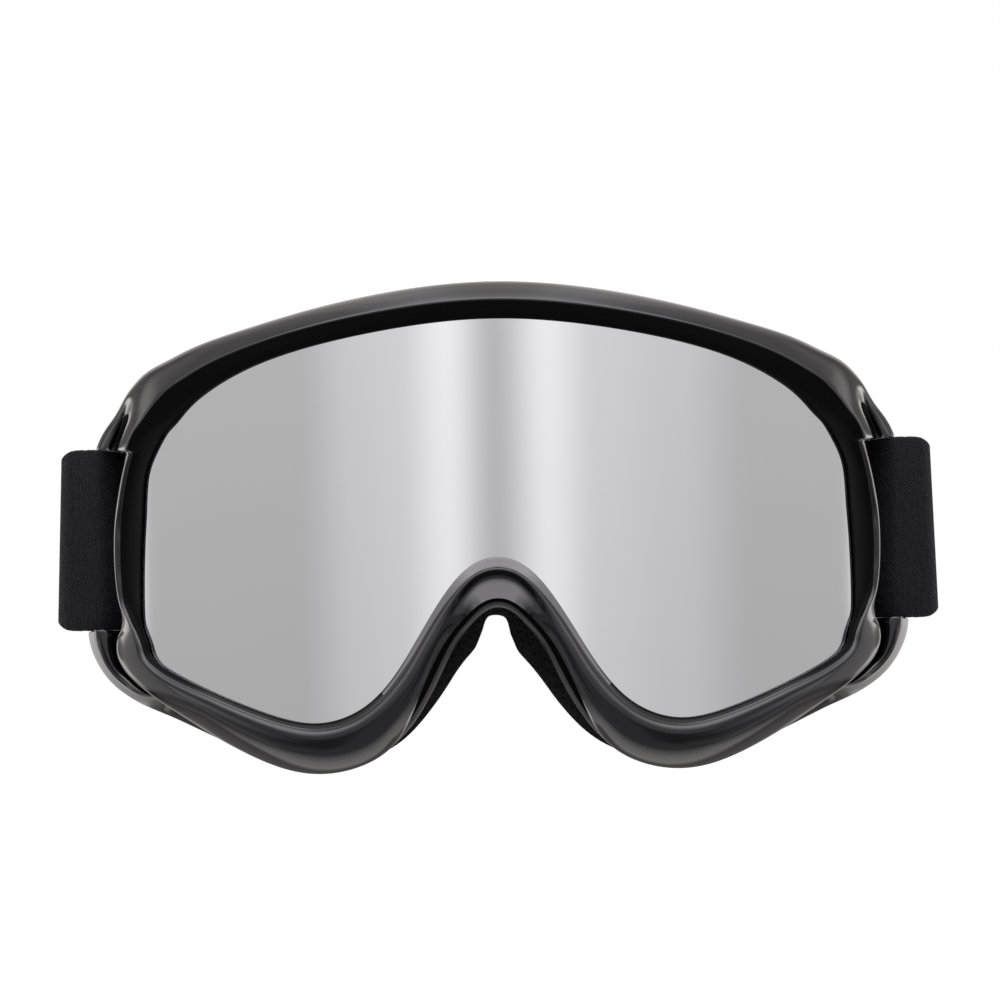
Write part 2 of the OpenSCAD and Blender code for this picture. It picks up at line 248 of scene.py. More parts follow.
def spread(tree, value, low_in, high_in, low_out, high_out, how="LINEAR"):
    made = add_node(tree, "MapRange", {
        "Value": value, "From Min": low_in, "From Max": high_in,
        "To Min": low_out, "To Max": high_out}, interpolation_type=how)
    return made.outputs["Result"]


def calc(tree, operation, first, second=0.0):
    return add_node(tree, "Math", {0: first, 1: second}, operation=operation).outputs[0]


def mixed_colour(tree, share, first, second, how="MIX"):
    made = add_node(tree, "Mix", {0: share, 6: first, 7: second}, data_type="RGBA", blend_type=how)
    return made.outputs[2]


def shade(tree, value, dark, light):
    """A colour between two, by a value from 0 to 1."""
    return mixed_colour(tree, value, (*dark, 1), (*light, 1))


def add_bump(tree, shader, height, distance, strength=1.0):
    bump = add_node(tree, "Bump", {"Height": height, "Distance": distance, "Strength": strength})
    tree.links.new(bump.outputs["Normal"], shader.inputs["Normal"])


def object_place(tree):
    return add_node(tree, "TexCoord").outputs["Object"]


def rough_by(tree, shader, value, value_range, rough_range):
    rough = spread(tree, value, *value_range, *rough_range)
    tree.links.new(rough, shader.inputs["Roughness"])


def colour_by(tree, shader, value, value_range, dark, light):
    colour = shade(tree, spread(tree, value, *value_range, 0.0, 1.0), dark, light)
    tree.links.new(colour, shader.inputs["Base Color"])


def moulded_plastic(name, colour, rough_range, coat=0.0, specular=0.5):
    """Plastic with slight smears and a very fine grain."""
    material, tree, shader = new_material(
        name, colour, rough_range[0], Coat_Weight=coat, Coat_Roughness=0.03, IOR=1.52,
        Specular_IOR_Level=specular, Specular_Tint=(1.0, 0.96, 1.03, 1))
    place = object_place(tree)
    rough_by(tree, shader, noise(tree, place, scale=90, detail=3), (0.35, 0.7), rough_range)
    add_bump(tree, shader, noise(tree, place, scale=1500), distance=0.00001, strength=0.3)
    return material


def smeared(name, colour, roughness, rough_range, scale, detail=2.0, **sockets):
    """A plain material whose gloss varies a little in smears."""
    material, tree, shader = new_material(name, colour, roughness, **sockets)
    smears = noise(tree, object_place(tree), scale, detail)
    rough_by(tree, shader, smears, (0.3, 0.7), rough_range)
    return material


def open_foam(name, dark, light, cell):
    """Matte foam with cells of about the given size in metres."""
    material, tree, shader = new_material(name, light, 0.95, Specular_IOR_Level=0.15)
    place = object_place(tree)
    cells = add_node(tree, "TexVoronoi", {"Vector": place, "Scale": 1 / cell})
    grain = calc(tree, "MULTIPLY", noise(tree, place, scale=3 / cell, detail=3), 0.6)
    height = calc(tree, "ADD", cells.outputs["Distance"], grain)
    colour_by(tree, shader, height, (0.3, 0.9), dark, light)
    add_bump(tree, shader, height, distance=0.0004, strength=0.8)
    return material


def fleece():
    material, tree, shader = new_material(
        "fleece", (0.02, 0.02, 0.022), 0.95, Sheen_Weight=0.12, Sheen_Roughness=0.5)
    place = object_place(tree)
    pile = noise(tree, place, scale=2600, detail=4)
    tufts = noise(tree, place, scale=420)
    height = calc(tree, "ADD", pile, tufts)
    colour_by(tree, shader, height, (0.7, 1.3), (0.011, 0.011, 0.012), (0.028, 0.028, 0.031))
    add_bump(tree, shader, height, distance=0.0004, strength=0.7)
    return material


RIB_PITCH, COLUMN_PITCH, KNIT_DEPTH = 0.75, 0.9, 0.25


def woven_elastic():
    """Webbing: fine ribs and columns along the strap's own length and width, in millimetres."""
    material, tree, shader = new_material(
        "woven elastic", (0.016, 0.016, 0.024), 0.9,
        Specular_IOR_Level=0.2, Sheen_Weight=0.08, Sheen_Roughness=0.5)
    place = add_node(tree, "Attribute", attribute_name="weave").outputs["Vector"]
    parts = add_node(tree, "SeparateXYZ", {0: place})
    waves = []
    for axis, pitch in (("X", RIB_PITCH), ("Y", COLUMN_PITCH)):
        turns = calc(tree, "MULTIPLY", parts.outputs[axis], 2 * math.pi / pitch)
        waves.append(calc(tree, "SINE", turns))
    knit = calc(tree, "MULTIPLY", *waves)
    streaks = add_node(tree, "Mapping", {"Vector": place, "Scale": (1.0, 0.3, 1.0)}).outputs[0]
    mottle = noise(tree, streaks, scale=1.3, detail=4)
    fuzz = noise(tree, place, scale=5, detail=3)
    height = calc(tree, "ADD", calc(tree, "MULTIPLY", knit, KNIT_DEPTH),
                  calc(tree, "ADD", mottle, fuzz))
    colour_by(tree, shader, height, (0.7, 1.3), (0.0005, 0.0005, 0.0008), (0.0125, 0.012, 0.0185))
    add_bump(tree, shader, height, distance=0.0005, strength=0.9)
    return material


def sewing_thread():
    material, tree, shader = new_material(
        "thread", (0.02, 0.02, 0.026), 0.7, Sheen_Weight=0.1)
    twist = noise(tree, object_place(tree), scale=4000, detail=1)
    colour_by(tree, shader, twist, (0.35, 0.65), (0.012, 0.012, 0.016), (0.035, 0.035, 0.044))
    return material


black_gloss = moulded_plastic("gloss black", (0.005, 0.005, 0.0052), (0.05, 0.1), coat=0.2)
# Darker matte black with little reflection: on the lip beside the lens and the walls in the strap's
# notches, and on the flange's front by the nose, where it is painted shade
matte_black_and_shade = moulded_plastic("matte black and painted shade", (0.003, 0.003, 0.003), (0.35, 0.45), specular=0.05)
# Lighter grey black for the flange's lip by the nose: a painted highlight where that edge catches the
# light
painted_highlight_black = moulded_plastic("painted highlight grey black", (0.045, 0.0435, 0.045), (0.3, 0.4))
black_satin = moulded_plastic("satin black", (0.012, 0.012, 0.013), (0.3, 0.42))
lens_mirror = smeared("lens mirror", (0.862, 0.852, 0.866), 0.08, (0.06, 0.1),
                      scale=60, detail=4, Metallic=1.0)
lens_inside = smeared("lens inside", (0.03, 0.028, 0.026), 0.1, (0.06, 0.16), scale=120, detail=3)
base_foam = open_foam("base foam", (0.005, 0.005, 0.005), (0.018, 0.018, 0.018), cell=0.0009)
vent_mesh_foam = open_foam("vent foam", (0.004, 0.004, 0.004), (0.022, 0.022, 0.022), cell=0.0016)
lining_fleece = fleece()
webbing = woven_elastic()
thread = sewing_thread()
grip_rubber = smeared("soft grip", (0.03, 0.03, 0.034), 0.45, (0.35, 0.6), scale=500)


def finish_piece(made, body, material, slot, *nodes):
    """Gives a piece its material and body, and hides the solids it stands for."""
    made.data.materials.clear()
    made.data.materials.append(material)
    if nodes:
        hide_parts(*nodes)
    if body:
        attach(made, body)
    return made


# Frame: one section carried round the outline, with vents through the waist and
# a notch in the flange on each side for the strap
STEPS = 6
flange_front = frame_depth - flange_t
waist_front, waist_back = 8, 15
flange_in = -1


def smooth_step(value, start, end):
    t = np.clip((value - start) / (end - start), 0, 1)
    return t * t * (3 - 2 * t)


# Rim of the frame in front of its side wall, as shares of the rim's width and depths.
# The first four points shape a matte lip beside the lens, the others the gloss rim:
# a sloping roof over the brow that ends in a groove and an arm above the strap, a ridge
# beside the temples, a flat face at the jaw, a round bead under the cheeks, a slope
# beside the nose and a double step over it.
RIM_BROW = [
    (0.08, -1.1), (0.2, -1.6), (0.38, -3.1), (0.48, -3.9),
    (0.53, -3.8), (0.63, -3.1), (0.76, -2.1), (0.88, -0.8), (0.96, 0.3), (1.01, 1.4), (1.03, 2.6)]
RIM_END = [
    (0.09, -1.0), (0.26, -1.2), (0.4, -2.4), (0.48, -3.3),
    (0.51, -3.3), (0.58, -2.4), (0.68, -1.0), (0.7, 3.0), (0.75, 3.0), (0.77, -0.2), (1.0, 2.2)]
RIM_TEMPLE = [
    (0.13, -1.0), (0.4, -0.8), (0.64, -1.2), (0.81, -2.4),
    (0.91, -3.05), (0.96, -3.0), (1.0, -2.4), (1.02, -1.6), (1.02, -0.5), (1.02, 0.6), (1.02, 1.8)]
RIM_JAW = [
    (0.06, -1.2), (0.1, -1.5), (0.14, -1.9), (0.18, -2.5),
    (0.24, -3.2), (0.32, -3.5), (0.5, -3.3), (0.7, -2.9), (0.85, -2.5), (0.97, -2.0), (1.0, -0.5)]
RIM_CHEEK = [
    (0.045, -1.2), (0.06, -1.5), (0.08, -1.9), (0.1, -2.4),
    (0.16, -3.3), (0.25, -3.7), (0.45, -3.5), (0.6, -2.7), (0.75, -0.95), (0.9, 1.8), (1.02, 4.8)]
RIM_FLANK = [
    (0.07, -1.25), (0.075, -1.35), (0.08, -1.4), (0.085, -1.45),
    (0.2, -2.7), (0.34, -3.5), (0.5, -3.9), (0.64, -3.85), (0.8, -3.3), (0.97, -2.0), (0.96, -0.5)]
RIM_NOSE = [
    (0.05, -1.35), (0.054, -1.45), (0.058, -1.5), (0.062, -1.55),
    (0.17, -3.0), (0.3, -4.9), (0.36, -3.9), (0.46, -2.2), (0.72, -3.7), (0.98, -5.2), (0.97, -4.0)]
RIM_SHAPES = (RIM_BROW, RIM_END, RIM_TEMPLE, RIM_JAW, RIM_CHEEK, RIM_FLANK, RIM_NOSE)

# Stations of the vents through the waist and of the strap's notches in the flange
THIRD = STEPS // 3
half_vents = [(2, 4), (5, 7), (30, 32), (33, 35)]
VENTS = [(a * THIRD, b * THIRD) for a, b in
         [(-1, 1), *half_vents, *[(-b, -a) for a, b in half_vents]]]
NOTCH_IN, NOTCH_STEP = 0.38, 0.2
notch_first, notch_last = 15 * THIRD + NOTCH_IN, 24 * THIRD - NOTCH_IN
NOTCHES = [(notch_first, notch_last), (-notch_last, -notch_first)]


def inside(place, ranges, count):
    """Whether a place on the loop lies within any of the ranges of stations."""
    return any(0 < (place - first) % count < final - first for first, final in ranges)


def frame_stations():
    """The outline's stations, with two more at each end of the strap's notches."""
    edge, way, width, flange, _ = outline_stations(STEPS)
    count = len(edge)
    extra = [place % count for first, final in NOTCHES
             for place in (first, first + NOTCH_STEP, final - NOTCH_STEP, final)]
    places = np.sort(np.concatenate([np.arange(count), extra]))
    before = places.astype(int)
    share = (places - before)[:, None]
    values = np.column_stack([edge, way, width, flange])
    values = values[before] + share * (values[(before + 1) % count] - values[before])
    return places, count, values[:, :2], values[:, 2:4], values[:, 4], values[:, 5]


def eased_between(value, table):
    """The table's second column by its first, eased from each row to the next."""
    result = np.full_like(value, table[0][1])
    for (start, level), (end, following) in zip(table, table[1:]):
        result += (following - level) * smooth_step(value, start, end)
    return result


# Distances from the middle over which one form of the frame passes into the next
EYE_SIDE = 45
LUGS, NOSE, FLANK, JAW = (EYE_SIDE, 52), (16, 4), (28, 20), (60, 72)
# Heights likewise, measured up for the forms above the strap
UPPER_LUG, BROW, BROW_END = (38, 33), (17, 26), (27, 22)
ARM_SWELL, ARM_TOP, ARM_FOOT = (23.5, 26.5), (31, 28), (25, 22)
# Heights likewise, measured down for the forms below the strap
LOWER_LUG, LOWER_ARM, UNDER = (30.5, 27), (25, 21), (13, 23)
JAW_SWELL, JAW_FOOT = (18, 21), (27, 22.5)
# How far the lip's inner edge stands outward of the lens outline, by height beside the eye
LIP_EDGE = [(-27, 0), (-23, -0.5), (-17, 0.8), (4, 0.6), (14, 1.2), (22.5, -0.3), (30, 0.1), (38, 0)]


def lug_places(edge, notched):
    """How far each station belongs to the lugs above and below the strap."""
    up = edge[:, 1]
    beside = smooth_step(np.abs(edge[:, 0]), *LUGS) * ~notched
    above = beside * (up > 0) * smooth_step(up, *UPPER_LUG)
    below = beside * (up < 0) * smooth_step(-up, *LOWER_LUG)
    return above, below


def rim_places(edge, above):
    """How far each station takes each of the rim's shapes, in their order."""
    across, up = np.abs(edge[:, 0]), edge[:, 1]
    brow = np.maximum(smooth_step(up, *BROW), above)
    end = above * smooth_step(up, *BROW_END)
    under = np.where(up > 0, 0, np.where(across < EYE_SIDE, 1, smooth_step(-up, *UNDER)))
    nose = under * smooth_step(across, *NOSE)
    flank = (under - nose) * smooth_step(across, *FLANK)
    jaw = under * smooth_step(across, *JAW)
    return brow - end, end, 1 - brow - under, jaw, under - nose - flank - jaw, flank, nose


def rim_widths(width, flange, up, above, below, at_nose):
    """Reach of the flange's edge and of the rim at the brow, temple and jaw."""
    arm_swell = 1.2 * smooth_step(up, *ARM_SWELL) * smooth_step(up, *ARM_TOP)
    arm_foot = 0.4 * smooth_step(up, *ARM_FOOT)
    lower_arm = 0.4 + 0.7 * smooth_step(-up, *LOWER_ARM)
    flange_edge = width + flange + (arm_swell - arm_foot) * above + lower_arm * below + 0.8 * at_nose
    brow = width + above * (flange_edge - width)
    temple_top = 2.9 * np.clip((up + 2) / 21, 0, 1) ** 2
    temple_foot = 1.3 * np.clip((-up - 3) / 17, 0, 1) ** 2
    temple = width + 0.6 - temple_top - temple_foot
    jaw = width + 1.5 * smooth_step(-up, *JAW_SWELL) * smooth_step(-up, *JAW_FOOT)
    return flange_edge, brow, temple, jaw


def rim_line(weights, widths, width, lip_out):
    """Points of the rim, each mixed from the rim's shapes."""
    points = []
    for shapes in zip(*RIM_SHAPES):
        reach = sum(weight * share * across
                    for weight, (share, _), across in zip(weights, shapes, widths))
        depth = sum(weight * back for weight, (_, back) in zip(weights, shapes))
        points.append((reach + lip_out * np.clip(1 - 2 * reach / width, 0, 1), depth))
    return points


def frame_section(width, flange, edge, notched):
    """Weights of the rim's shapes and the section's points at every station: u outward, v back."""
    up = edge[:, 1]
    above, below = lug_places(edge, notched)
    weights = rim_places(edge, above)
    _, _, at_temple, _, cheek, flank, nose = weights
    at_nose = nose + flank
    rim_edge, brow, temple, jaw = rim_widths(width, flange, up, above, below, at_nose)
    lip_out = eased_between(up, LIP_EDGE) * (np.abs(edge[:, 0]) > EYE_SIDE)
    lip = [(0.15 + lip_out, -lens_gap), (lip_out, -0.7), (0.35 + lip_out, -1.1)]
    rim = rim_line(weights, (brow, brow, temple, jaw, jaw, width, width), width, lip_out)

    # Side wall from the rim back to the flange, straight above the strap, and below it
    # a slit and an arm
    root = width - waist_in
    wall_start = brow + at_temple * np.minimum(temple - brow, 0) - 0.35 - 0.3 * at_nose
    wall_line = [(wall_start, 4.2 + 1.2 * cheek), (root + 0.3, 6.4), (root, waist_front),
                 (root, waist_back), (root, flange_front - 2), (root + 0.2, flange_front - 0.5),
                 (rim_edge - 0.9, flange_front)]
    slit = 0.9 - 0.1 * smooth_step(-up, *LOWER_ARM)
    arm_line = [(jaw - 0.2, 1.0), (jaw - 0.3, 9), (jaw + slit - 0.2, 9.5), (jaw + slit, 4.5),
                (rim_edge - 2.5, 5.0), (rim_edge - 2.2, 8.0), (rim_edge - 0.1, flange_front + 0.2)]
    rim_back = 2.5
    side_wall = []
    for (u, v), (arm_u, arm_v) in zip(wall_line, arm_line):
        straight = brow + (rim_edge - brow) * (v - rim_back) / (flange_front - rim_back)
        side_wall.append((u + above * (straight - u) + below * (arm_u - u), v + below * (arm_v - v)))

    one = np.ones_like(width)
    flange_lip = flange_front + 0.6 + 0.8 * nose + 2.2 * flank
    flange_line = [
        (rim_edge + 0.1, flange_lip), (rim_edge + 0.1, frame_depth - 0.6),
        (rim_edge - 0.9, frame_depth), (root + 0.2, frame_depth),
        (flange_in * one, frame_depth), (flange_in * one - 0.4, frame_depth - 1),
        (flange_in * one, frame_depth - 2)]
    inner = root - wall
    groove = (groove_in + lens_gap) * one
    lens_back = lens_t + lens_gap
    inner_line = [
        (inner, waist_back + 3), (inner, waist_back), (inner, waist_front), (inner, 4.6),
        (0.7 * one, 3.4), (0.5 * one, lens_back), (groove, lens_back), (groove, -lens_gap),
        (0.8 + np.maximum(lip_out, 0), -lens_gap)]
    return weights, lip + rim + side_wall + flange_line + inner_line


# Places in the section, by the numbers of its points: the matte lip, the edge of the rim's
# side, the wall in the strap's notches, the vents through the waist, the foot of the lower
# arm, the part of the flange that the notches cut away, and the flange's front and lip
LIP, RIM_SIDE, NOTCH_WALL = (1, 6), 12, (13, 16)
WAIST_OUT, WAIST_INNER = (16, 17), (29, 30)
ARM, EAR = slice(17, 20), (19, 24)
FLANGE, FLANGE_LIP = (19, 20), (20, 21)
ARM_LEAN, CUT_CREASE = 0.9, 0.7


def within(spots, span):
    """Whether all the points lie within a span of the section."""
    return span[0] <= min(spots) and max(spots) <= span[1]


def build_frame():
    places, loop, edge, way, width, flange = frame_stations()
    count = len(places)
    notched = np.array([inside(place, NOTCHES, loop) for place in places])
    weights, section = frame_section(width, flange, edge, notched)
    size = len(section)
    points = section_points(edge, way, section)
    arm_ends = np.searchsorted(places, [NOTCHES[0][1] % loop, NOTCHES[1][0] % loop])
    points[arm_ends, ARM, 2] += ARM_LEAN

    def corner(i, j):
        return (i % count) * size + j % size

    def patch(i, j, k):
        return (corner(i, j), corner(i, k), corner(i + 1, k), corner(i + 1, j))

    def along(i, j):
        return frozenset((corner(i, j), corner(i + 1, j)))

    *_, flank, nose = weights
    at_nose = flank + nose
    faces, creased, rim_sides = [], {}, set()
    for i in range(count):
        middle = (places[i] + (places[i + 1] if i + 1 < count else loop)) / 2
        vented, slotted = inside(middle, VENTS, loop), inside(middle, NOTCHES, loop)
        creased[along(i, RIM_SIDE)] = min(4 * at_nose[i], 1)
        if at_nose[i] > 0.1:
            rim_sides.add(along(i, RIM_SIDE))
        for j in range(size):
            if vented and j in (WAIST_OUT[0], WAIST_INNER[0]):
                continue
            if slotted and EAR[0] <= j < EAR[1]:
                continue
            faces.append(patch(i, j, j + 1))
        if vented:
            faces += [patch(i, WAIST_OUT[0], WAIST_INNER[1]),
                      patch(i, WAIST_INNER[0], WAIST_OUT[1])]
            creased |= {along(i, j): CUT_CREASE for j in WAIST_OUT + WAIST_INNER}
        if slotted:
            faces.append(patch(i, *EAR))
            creased |= {along(i, j): CUT_CREASE for j in EAR}
    for ranges, ring in ((VENTS, WAIST_OUT + WAIST_INNER), (NOTCHES, range(EAR[0], EAR[1] + 1))):
        for span in ranges:
            for station in span:
                i = int(np.searchsorted(places, station % loop))
                end = [corner(i, j) for j in ring]
                faces.append(end)
                creased |= {frozenset(pair): CUT_CREASE for pair in zip(end, end[1:] + end[:1])}
    for i in arm_ends:
        creased |= {frozenset((corner(i, j), corner(i, j + 1))): 1 for j in range(ARM.start, ARM.stop)}

    made = outward(mesh_object("goggle_frame", points.reshape(-1, 3), faces, None))
    finishes = [black_gloss, matte_black_and_shade, painted_highlight_black]
    for material in finishes:
        made.data.materials.append(material)
    for polygon in made.data.polygons:
        stations, spots = zip(*[divmod(k, size) for k in polygon.vertices])
        near_nose = at_nose[min(stations)]
        # The lip and the notch walls take the darker matte black, and so does the flange's front by
        # the nose as painted shade
        on_lip = within(spots, LIP) and near_nose < 0.5
        on_flange = within(spots, FLANGE) and near_nose > 0
        in_notch = within(spots, NOTCH_WALL) and notched[min(stations)] and notched[max(stations)]
        if on_lip or on_flange or in_notch:
            polygon.material_index = finishes.index(matte_black_and_shade)
        # The flange's lip by the nose takes the lighter grey black, a painted highlight
        if within(spots, FLANGE_LIP) and near_nose > 0:
            polygon.material_index = finishes.index(painted_highlight_black)
    crease = made.data.attributes.new("crease_edge", "FLOAT", "EDGE")
    for side in made.data.edges:
        crease.data[side.index].value = creased.get(frozenset(side.vertices), 0.0)
        side.use_edge_sharp = frozenset(side.vertices) in rim_sides
    return add_subdivision(made, 2)


goggle_frame = build_frame()
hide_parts("frame")
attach(goggle_frame, "frame")


# Lens: a curved sheet in columns, silver in front and smoked behind
LENS_STEPS, LENS_COLUMNS, LENS_ROWS = 12, 161, 13
COLUMN_INSET, TINY = 0.02, 1e-12


def build_lens():
    edge, way, *_ = outline_stations(LENS_STEPS)
    rim = edge + way * (groove_in - lens_gap)
    following = np.roll(rim, -1, axis=0)
    reach = rim[:, 0].max() - COLUMN_INSET
    points = []
    for x in reach * np.linspace(-1, 1, LENS_COLUMNS):
        crosses = (rim[:, 0] - x) * (following[:, 0] - x) <= 0
        a, b = rim[crosses], following[crosses]
        heights = a[:, 1] + (b[:, 1] - a[:, 1]) * (x - a[:, 0]) / (b[:, 0] - a[:, 0] + TINY)
        column = np.linspace(heights.min(), heights.max(), LENS_ROWS)
        front = lens_y + curve_y(x)
        points += [(x, front, z) for z in column]
        points += [(x, front + lens_t, z) for z in column[::-1]]
    faces = capped_faces(LENS_COLUMNS, 2 * LENS_ROWS)
    made = outward(mesh_object("mirror_lens", points, faces))
    finish_piece(made, "frame", lens_mirror, "lens", "lens")
    made.data.materials.append(lens_inside)
    for polygon in made.data.polygons:
        faces_front = polygon.normal.y < -0.2
        polygon.material_index = 0 if faces_front else 1


build_lens()


# Foam rings behind the flange, with soft edges, set a little to one side and fuller at the
# nose, over ranges of distance from the middle and of height
nose_shift, nose_fill = 0.6, 1.6
FOAM_NOSE, FOAM_NOSE_TOP, FILL_IN, FILL_OUT = (34, 22), (5, 0), (3, 8), (20, 12)


def build_foam(name, front, back, inset, rounding, material, slot, node):
    edge, way, width, _, foam = outline_stations(STEPS)
    near_nose = smooth_step(np.abs(edge[:, 0]), *FOAM_NOSE) * smooth_step(edge[:, 1], *FOAM_NOSE_TOP)
    edge[:, 0] -= nose_shift * near_nose
    across = np.abs(edge[:, 0])
    foam += nose_fill * near_nose * smooth_step(across, *FILL_IN) * smooth_step(across, *FILL_OUT)
    a = (flange_in - 0.5 + inset) * np.ones_like(width)
    b = width + foam - inset
    middle, round_in, glued = (front + back) / 2, 0.3 * rounding, 0.4
    section = [
        (a, front), (a, front + glued), (a - 0.1, middle), (a, back - rounding),
        (a + round_in, back - round_in), (a + rounding, back), ((a + b) / 2, back),
        (b - rounding, back), (b - round_in, back - round_in), (b, back - rounding),
        (b + 0.1, middle), (b, front + glued), (b, front),
    ]
    points = section_points(edge, way, section)
    faces = ring_faces(*points.shape[:2], closed=True)
    made = outward(mesh_object(name, points.reshape(-1, 3), faces, None))
    add_subdivision(made, 1)
    finish_piece(made, "frame", material, slot, node)
    return made


foam_front = frame_depth + glue_gap
lining_front = foam_front + foam_t + glue_gap
base_rounding, lining_rounding, lining_inset = 1.6, 2.2, 0.4
build_foam("foam_base", foam_front, foam_front + foam_t, 0, base_rounding, base_foam,
           "foam", "face_foam")
build_foam("foam_lining", lining_front, lining_front + lining_t, lining_inset, lining_rounding,
           lining_fleece, "lining", "face_lining")


# Vent foam: a strip behind each row of vents
def build_vent_foam(name, first, final):
    edge, way, width, *_ = outline_stations(STEPS)
    picks = np.arange(first * THIRD, final * THIRD + 1) % len(edge)
    edge, way, width = edge[picks], way[picks], width[picks]
    out = width - waist_in - wall - glue_gap
    into = out - vent_foam_t
    front, back = waist_front - 2, waist_back + 2
    middle = (front + back) / 2
    section = [(out, front), (out, middle), (out, back), (into, back), (into, middle), (into, front)]
    points = section_points(edge, way, section)
    made = outward(mesh_object(name, points.reshape(-1, 3), capped_faces(*points.shape[:2])))
    finish_piece(made, "frame", vent_mesh_foam, "foam", name)
    made.name = name + "_pad"
    return made


build_vent_foam("vent_foam_top", first=-8, final=8)
build_vent_foam("vent_foam_right", first=29, final=36)
build_vent_foam("vent_foam_left", first=-36, final=-29)


# Strap bars in the frame's lugs
bar_y = lens_y + float(curve_y(side_x)) + frame_depth - flange_t / 2
BAR_SEAT, BAR_SIDES = 0.3, 32
bar_half = slot_half + BAR_SEAT
BAR_RINGS = ((-1, 0.3), (-0.9, 1), (0.9, 1), (1, 0.3))
for side, word in SIDES:
    turn = np.linspace(0, 2 * math.pi, BAR_SIDES, endpoint=False)
    rings = []
    for height, radius in BAR_RINGS:
        rings.append(np.stack([side * bar_x + radius * bar_r * np.cos(turn),
                               bar_y + radius * bar_r * np.sin(turn),
                               np.full(BAR_SIDES, height * bar_half)], axis=-1))
    faces = capped_faces(len(BAR_RINGS), BAR_SIDES)
    bar = outward(mesh_object("strap_bar_" + word, np.concatenate(rings), faces))
    finish_piece(bar, "frame", black_gloss, "frame")


# Strap: paths are drawn in plan on the right, and mirrored for the left
bar_at = np.array([bar_x, bar_y])
loop_r = bar_r + loop_gap + strap_t / 2
rear_y = bar_y + leg_len
slider_y = bar_y + slider_at
end_gap, edge_gap = 0.2, 0.8
end_r = slider_bar_r + end_gap + strap_t / 2
slider_bar_x = bar_x + strap_t / 2 + slide_gap + strap_t + end_gap + slider_bar_r
outer_x = slider_bar_x + end_r
flare, bend_r = math.radians(30), 4
bulge_line = bar_x + bulge_out - strap_t / 2
flare_start = bar_at + loop_r * np.array([math.sin(flare), -math.cos(flare)])
flare_len = (bulge_line - bend_r * (1 - math.sin(flare)) - flare_start[0]) / math.cos(flare)
flare_end = flare_start + flare_len * np.array([math.cos(flare), math.sin(flare)])
bend_at = flare_end + bend_r * np.array([-math.sin(flare), math.cos(flare)])
end_front = slider_y - sewn_len
run_front = bend_at[1] + bulge_len
run_turn = math.atan2(bulge_line - outer_x, end_front - bend_at[1])


def eased(t):
    return (1 - math.cos(math.pi * t)) / 2


def arc(centre, radius, start, end, pieces):
    return [np.array(centre) + radius * np.array([math.cos(a), math.sin(a)])
            for a in np.linspace(start, end, pieces + 1)]


def directions(path):
    """Unit steps ahead along a path."""
    ahead = np.gradient(path, axis=0)
    return ahead / np.linalg.norm(ahead, axis=1)[:, None]


def resampled(path, step):
    """The path at even steps along its length."""
    path = np.array(path, float)
    lengths = np.concatenate([[0], np.cumsum(np.linalg.norm(np.diff(path, axis=0), axis=1))])
    wanted = np.linspace(0, lengths[-1], max(2, round(lengths[-1] / step) + 1))
    return np.stack([np.interp(wanted, lengths, path[:, k]) for k in (0, 1)], axis=-1), wanted


# Section of the webbing: distance out from its middle, and height as a share of its width
half_t = strap_t / 2
web_face = np.linspace(-0.485, 0.485, 13)
web_edge = [(0.7 * half_t, 0.495), (0, 0.5), (-0.7 * half_t, 0.495)]
WEB_SECTION = ([(half_t, share) for share in web_face] + web_edge
               + [(-half_t, share) for share in web_face[::-1]]
               + [(-out, -share) for out, share in web_edge])
# Its edges are a little uneven, and its weave differs from side to side
EDGE_SHARE, SCALLOP, SCALLOP_PITCH, SCALLOP_BEAT = 0.45, 0.12, 2.3, 0.71
SIDES_APART = 3

# Where the webbing swings out past the frame, it leans outward below and its edges are drawn in
SWING_LEAN, SWING_FROM, SWING_OVER = 0.036, 2, 6
EDGE_DRAW, DRAW_FROM, DRAW_OVER = 2.4, 3, 3.2


def build_webbing(name, path, side, start_length=0.0, step=1.0, lean=0.0):
    """A woven band along a path, with rounded edges and its own length and width stored."""
    path, lengths = resampled(path, step)
    ahead = directions(path)
    normal = np.stack([ahead[:, 1], -ahead[:, 0]], axis=-1)
    points, weave = [], []
    for spot, out, length in zip(path, normal, lengths):
        swung = lean * min(max((spot[0] - bar_x - SWING_FROM) / SWING_OVER, 0), 1)
        swung *= float(smooth_step(spot[1], end_front, run_front))
        turned = min(max((spot[0] - bulge_line + DRAW_FROM) / DRAW_OVER, 0), 1) if lean else 0
        drawn_in = 2 * EDGE_DRAW * (1 - math.sqrt(1 - turned ** 2))
        scallop = SCALLOP * math.sin(2 * math.pi * length / SCALLOP_PITCH)
        scallop *= math.sin(length * SCALLOP_BEAT)
        for offset, share in WEB_SECTION:
            flat = spot + out * offset
            z = share * (strap_w - drawn_in + (scallop if abs(share) > EDGE_SHARE else 0))
            points.append((side * (flat[0] - swung * z), flat[1], z))
            weave.append((length + start_length, z, SIDES_APART * side))
    faces = capped_faces(len(path), len(WEB_SECTION))
    made = outward(mesh_object(name, points, faces, smooth_angle=50))
    stored = made.data.attributes.new("weave", "FLOAT_VECTOR", "POINT")
    stored.data.foreach_set("vector", np.array(weave, np.float32).ravel())
    return made


def rear_point(angle, inset=0.0):
    return np.array([(bar_x - inset) * math.cos(angle),
                     rear_y + (rear_depth - inset) * math.sin(angle)])


